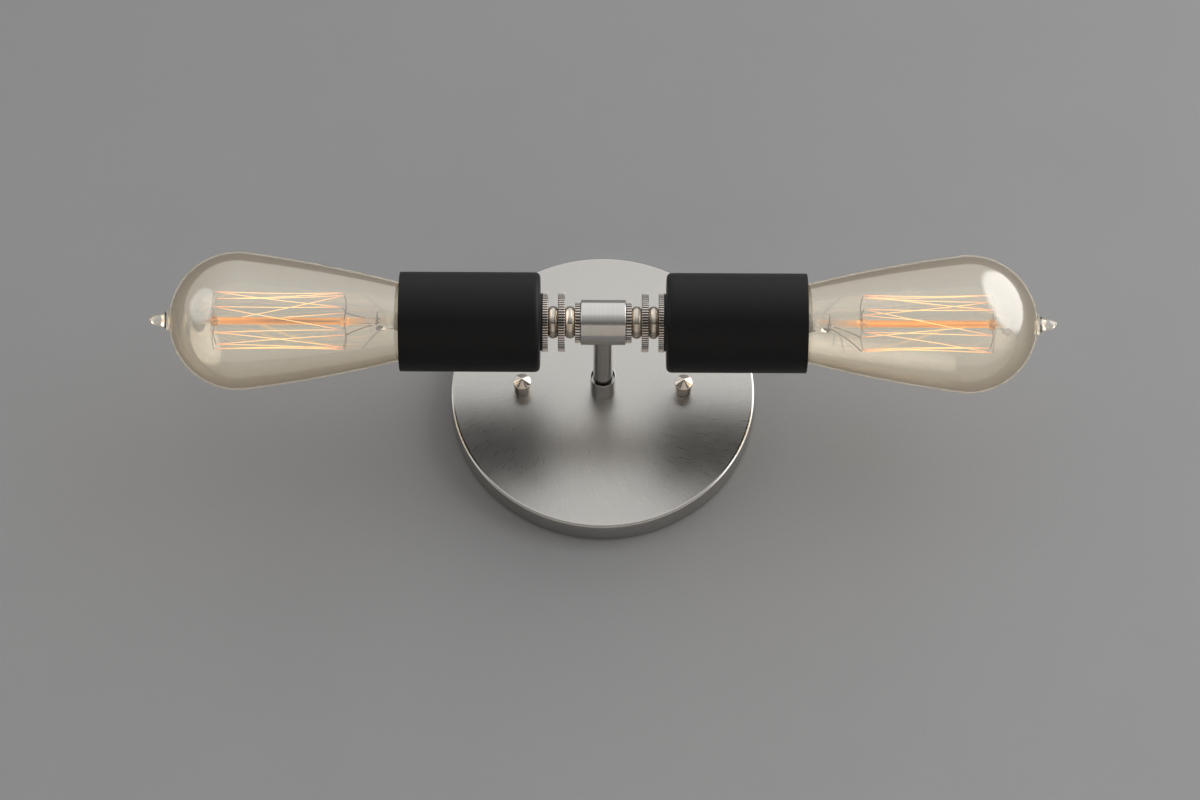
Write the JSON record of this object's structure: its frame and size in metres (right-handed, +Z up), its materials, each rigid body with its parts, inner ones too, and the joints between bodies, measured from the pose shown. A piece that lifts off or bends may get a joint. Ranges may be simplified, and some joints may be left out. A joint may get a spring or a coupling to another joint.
{
  "type": "industrial pipe wall light",
  "caption": "Wall light with a round brushed canopy, a short stem and a tee that carries a socket cup and a squirrel-cage filament bulb on each side.",
  "frame": {"origin": "centre of the canopy's back rim, on the wall", "axes": "+Z up, +X along the lamps to the right as seen from the room, +Y into the wall"},
  "size_m": [0.382, 0.1029, 0.132],
  "materials": {
    "brushed_nickel": "brushed nickel plate",
    "polished_nickel": "polished nickel plate",
    "knurled_nickel": "straight-knurled nickel plate",
    "zinc_steel": "zinc plate",
    "green_screw": "green",
    "connector_plastic": "moulded",
    "black_rubber": "matt",
    "black_paint": "satin black",
    "porcelain": "glazed",
    "brass": "rolled",
    "black_insulation": "extruded",
    "white_insulation": "extruded",
    "solder": "soldered",
    "black_glass": "glazed",
    "amber_glass": "amber tint",
    "clear_glass": "clear",
    "support_wire": "drawn wire",
    "glowing_carbon": "incandescent"
  },
  "bodies": {
    "fixture": {"canopy": "brushed_nickel", "mounting_strap": "zinc_steel", "strap_studs": "zinc_steel", "stud_jam_nuts": "zinc_steel", "ground_screw": "green_screw", "cap_nuts": "polished_nickel", "canopy_nipple": "zinc_steel", "nipple_lock_washer": "zinc_steel", "nipple_hex_nut": "zinc_steel", "stem_collar": "brushed_nickel", "stem_tube": "brushed_nickel", "tee_body": "brushed_nickel", "wire_connectors": "connector_plastic", "arm_nipple_right": "zinc_steel", "small_knurled_nut_right": "knurled_nickel", "inner_bead_right": "polished_nickel", "inner_knurled_nut_right": "knurled_nickel", "outer_bead_right": "polished_nickel", "outer_knurled_nut_right": "knurled_nickel", "cup_washer_right": "black_rubber", "socket_cup_right": "black_paint", "cup_lock_nut_right": "zinc_steel", "socket_cap_right": "porcelain", "socket_body_right": "porcelain", "screw_shell_right": "brass", "centre_contact_right": "brass", "terminal_screws_right": "brass", "hot_lead_right": "black_insulation", "neutral_lead_right": "white_insulation", "arm_nipple_left": "zinc_steel", "small_knurled_nut_left": "knurled_nickel", "inner_bead_left": "polished_nickel", "inner_knurled_nut_left": "knurled_nickel", "outer_bead_left": "polished_nickel", "outer_knurled_nut_left": "knurled_nickel", "cup_washer_left": "black_rubber", "socket_cup_left": "black_paint", "cup_lock_nut_left": "zinc_steel", "socket_cap_left": "porcelain", "socket_body_left": "porcelain", "screw_shell_left": "brass", "centre_contact_left": "brass", "terminal_screws_left": "brass", "hot_lead_left": "black_insulation", "neutral_lead_left": "white_insulation"},
    "right_bulb_carrier": {"bulb_contact_right": "solder"},
    "right_bulb": {"bulb_insulator_right": "black_glass", "bulb_shell_right": "brass", "bulb_glass_right": "amber_glass", "bulb_stem_right": "clear_glass", "bulb_supports_right": "support_wire", "bulb_filament_right": "glowing_carbon"},
    "left_bulb_carrier": {"bulb_contact_left": "solder"},
    "left_bulb": {"bulb_insulator_left": "black_glass", "bulb_shell_left": "brass", "bulb_glass_left": "amber_glass", "bulb_stem_left": "clear_glass", "bulb_supports_left": "support_wire", "bulb_filament_left": "glowing_carbon"}
  },
  "joints": [
    {"name": "right_bulb_travel", "type": "slide", "parent": "fixture", "child": "right_bulb_carrier", "axis": [1, 0, 0], "range_m": [0, 0.01815]},
    {"name": "right_bulb_turn", "type": "hinge", "parent": "right_bulb_carrier", "child": "right_bulb", "pos_m": [0, -0.0737, 0], "axis": [1, 0, 0], "range_deg": [0, 1800]},
    {"name": "left_bulb_travel", "type": "slide", "parent": "fixture", "child": "left_bulb_carrier", "axis": [-1, 0, 0], "range_m": [0, 0.01815]},
    {"name": "left_bulb_turn", "type": "hinge", "parent": "left_bulb_carrier", "child": "left_bulb", "pos_m": [0, -0.0737, 0], "axis": [-1, 0, 0], "range_deg": [0, 1800]}
  ],
  "couplings": [
    {"joint": "right_bulb_travel", "follows": "right_bulb_turn", "m_per_rad": 0.00057757},
    {"joint": "left_bulb_travel", "follows": "left_bulb_turn", "m_per_rad": 0.00057757}
  ]
}
